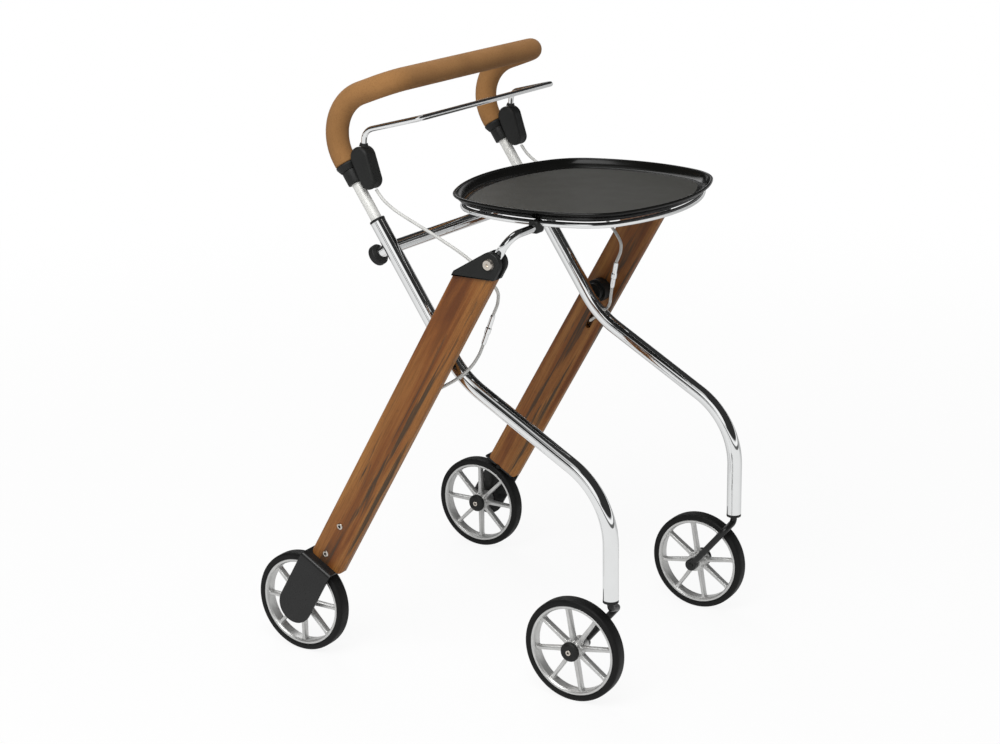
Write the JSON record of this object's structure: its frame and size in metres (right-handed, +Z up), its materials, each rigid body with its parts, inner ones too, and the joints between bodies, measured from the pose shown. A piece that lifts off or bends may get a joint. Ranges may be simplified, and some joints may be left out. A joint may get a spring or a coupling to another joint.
{
  "type": "indoor walker with tray",
  "caption": "Folding indoor walker with bent chrome tubes, wooden rear legs, height-adjustable foam handle with brake lever, swivel casters and a lift-off tray.",
  "frame": {"origin": "on the floor, in the middle plane, midway between the front and rear axles", "axes": "+Z up, +Y towards the user who walks behind, -Y the walking direction, +X the walker's left as the builder names it; X = 0 is the plane of symmetry"},
  "size_m": [0.522, 0.581, 0.8585],
  "materials": {
    "chrome_tube": "polished chrome plate",
    "satin_aluminium": "satin silver",
    "bolt_steel": "bright zinc plate",
    "black_plastic": "fine matte",
    "black_sheet": "semi-matte black powder coat",
    "grip_foam": "fine-pored tan foam",
    "leg_wood": "satin reddish walnut stain",
    "cable_grey": "grey cable sleeve",
    "pad_rubber": "matte rubber",
    "wheel_tyre": "smooth black rubber",
    "wheel_silver": "silver-grey moulding",
    "tray_black": "glossy wall, finely ribbed matte floor"
  },
  "bodies": {
    "frame": {"front_tube_left": "chrome_tube", "front_tube_right": "chrome_tube", "crossbar": "chrome_tube", "tube_collars": "black_plastic", "caster_bushes": "black_plastic", "clamp_bosses": "satin_aluminium", "pivot_bolts": "bolt_steel", "cable_adjusters": "satin_aluminium", "upper_cable_left": "cable_grey", "upper_cable_right": "cable_grey", "lower_cable_left": "cable_grey", "lower_cable_right": "cable_grey"},
    "handle": {"handle_tube": "satin_aluminium", "handle_grip": "grip_foam", "grip_collars": "black_plastic", "lever_housing_left": "black_plastic", "lever_housing_right": "black_plastic", "lever_pins": "bolt_steel"},
    "brake_lever": {"lever_bar": "chrome_tube", "lever_boots": "black_plastic"},
    "knob_left": {"height_knob_left": "black_plastic"},
    "knob_right": {"height_knob_right": "black_plastic"},
    "legs": {"leg_plank_left": "leg_wood", "leg_plank_right": "leg_wood", "leg_cap_left": "black_plastic", "leg_cap_right": "black_plastic", "clevis_bolts": "bolt_steel", "pivot_spacer_left": "black_plastic", "pivot_spacer_right": "black_plastic", "wheel_bracket_left": "black_sheet", "wheel_bracket_right": "black_sheet", "bracket_screws": "bolt_steel", "rear_axles": "bolt_steel"},
    "brake_left": {"brake_pad_left": "pad_rubber"},
    "brake_right": {"brake_pad_right": "pad_rubber"},
    "rear_wheel_left": {"rear_tyre_left": "wheel_tyre", "rear_rim_left": "wheel_silver", "rear_hub_cap_left": "black_plastic"},
    "rear_wheel_right": {"rear_tyre_right": "wheel_tyre", "rear_rim_right": "wheel_silver", "rear_hub_cap_right": "black_plastic"},
    "caster_left": {"caster_fork_left": "black_sheet", "front_axle_left": "bolt_steel"},
    "caster_right": {"caster_fork_right": "black_sheet", "front_axle_right": "bolt_steel"},
    "front_wheel_left": {"front_tyre_left": "wheel_tyre", "front_rim_left": "wheel_silver", "front_hub_cap_left": "black_plastic"},
    "front_wheel_right": {"front_tyre_right": "wheel_tyre", "front_rim_right": "wheel_silver", "front_hub_cap_right": "black_plastic"},
    "tray_frame": {"tray_ring": "chrome_tube", "tray_arm_left": "chrome_tube", "tray_arm_right": "chrome_tube", "tray_clips": "black_plastic"},
    "tray": {"tray": "tray_black"}
  },
  "joints": [
    {"name": "handle_height", "type": "slide", "parent": "frame", "child": "handle", "axis": [0, 0.5505, 0.8348], "range_m": [-0.03, 0.08], "deforming": ["upper_cable_left", "upper_cable_right"]},
    {"name": "lever_squeeze", "type": "hinge", "parent": "handle", "child": "brake_lever", "pos_m": [0, 0.11796, 0.73486], "axis": [1, 0, 0], "range_deg": [-12, 0], "stiffness_Nm_per_rad": 3, "springref_deg": 10},
    {"name": "leg_fold", "type": "hinge", "parent": "frame", "child": "legs", "pos_m": [0, -0.01951, 0.47006], "axis": [1, 0, 0], "range_deg": [-33, 0], "deforming": ["lower_cable_left", "lower_cable_right"]},
    {"name": "tray_tilt", "type": "hinge", "parent": "legs", "child": "tray_frame", "pos_m": [0, -0.12345, 0.62409], "axis": [1, 0, 0], "range_deg": [0, 66]},
    {"name": "tray_lift", "type": "slide", "parent": "tray_frame", "child": "tray", "axis": [0, 0, 1], "range_m": [0, 0.06]},
    {"name": "knob_left_turn", "type": "hinge", "parent": "frame", "child": "knob_left", "pos_m": [0.189, 0.07503, 0.61344], "axis": [0, 0.8348, -0.5505], "range_deg": [0, 360]},
    {"name": "caster_left_swivel", "type": "hinge", "parent": "frame", "child": "caster_left", "pos_m": [0.189, -0.273, 0.161], "axis": [0, 0, 1], "continuous": true},
    {"name": "front_wheel_left_roll", "type": "hinge", "parent": "caster_left", "child": "front_wheel_left", "pos_m": [0.189, -0.2155, 0.075], "axis": [1, 0, 0], "continuous": true},
    {"name": "rear_wheel_left_roll", "type": "hinge", "parent": "legs", "child": "rear_wheel_left", "pos_m": [0.238, 0.2155, 0.075], "axis": [1, 0, 0], "continuous": true},
    {"name": "brake_left_press", "type": "slide", "parent": "legs", "child": "brake_left", "axis": [0, 0.5, -0.866], "range_m": [0, 0.0022]},
    {"name": "knob_right_turn", "type": "hinge", "parent": "frame", "child": "knob_right", "pos_m": [-0.189, 0.07503, 0.61344], "axis": [0, 0.8348, -0.5505], "range_deg": [0, 360]},
    {"name": "caster_right_swivel", "type": "hinge", "parent": "frame", "child": "caster_right", "pos_m": [-0.189, -0.273, 0.161], "axis": [0, 0, 1], "continuous": true},
    {"name": "front_wheel_right_roll", "type": "hinge", "parent": "caster_right", "child": "front_wheel_right", "pos_m": [-0.189, -0.2155, 0.075], "axis": [1, 0, 0], "continuous": true},
    {"name": "rear_wheel_right_roll", "type": "hinge", "parent": "legs", "child": "rear_wheel_right", "pos_m": [-0.238, 0.2155, 0.075], "axis": [1, 0, 0], "continuous": true},
    {"name": "brake_right_press", "type": "slide", "parent": "legs", "child": "brake_right", "axis": [0, 0.5, -0.866], "range_m": [0, 0.0022]}
  ],
  "couplings": [
    {"joint": "tray_tilt", "follows": "leg_fold", "ratio": -2},
    {"joint": "brake_left_press", "follows": "lever_squeeze", "m_per_rad": -0.010504},
    {"joint": "brake_right_press", "follows": "lever_squeeze", "m_per_rad": -0.010504}
  ]
}
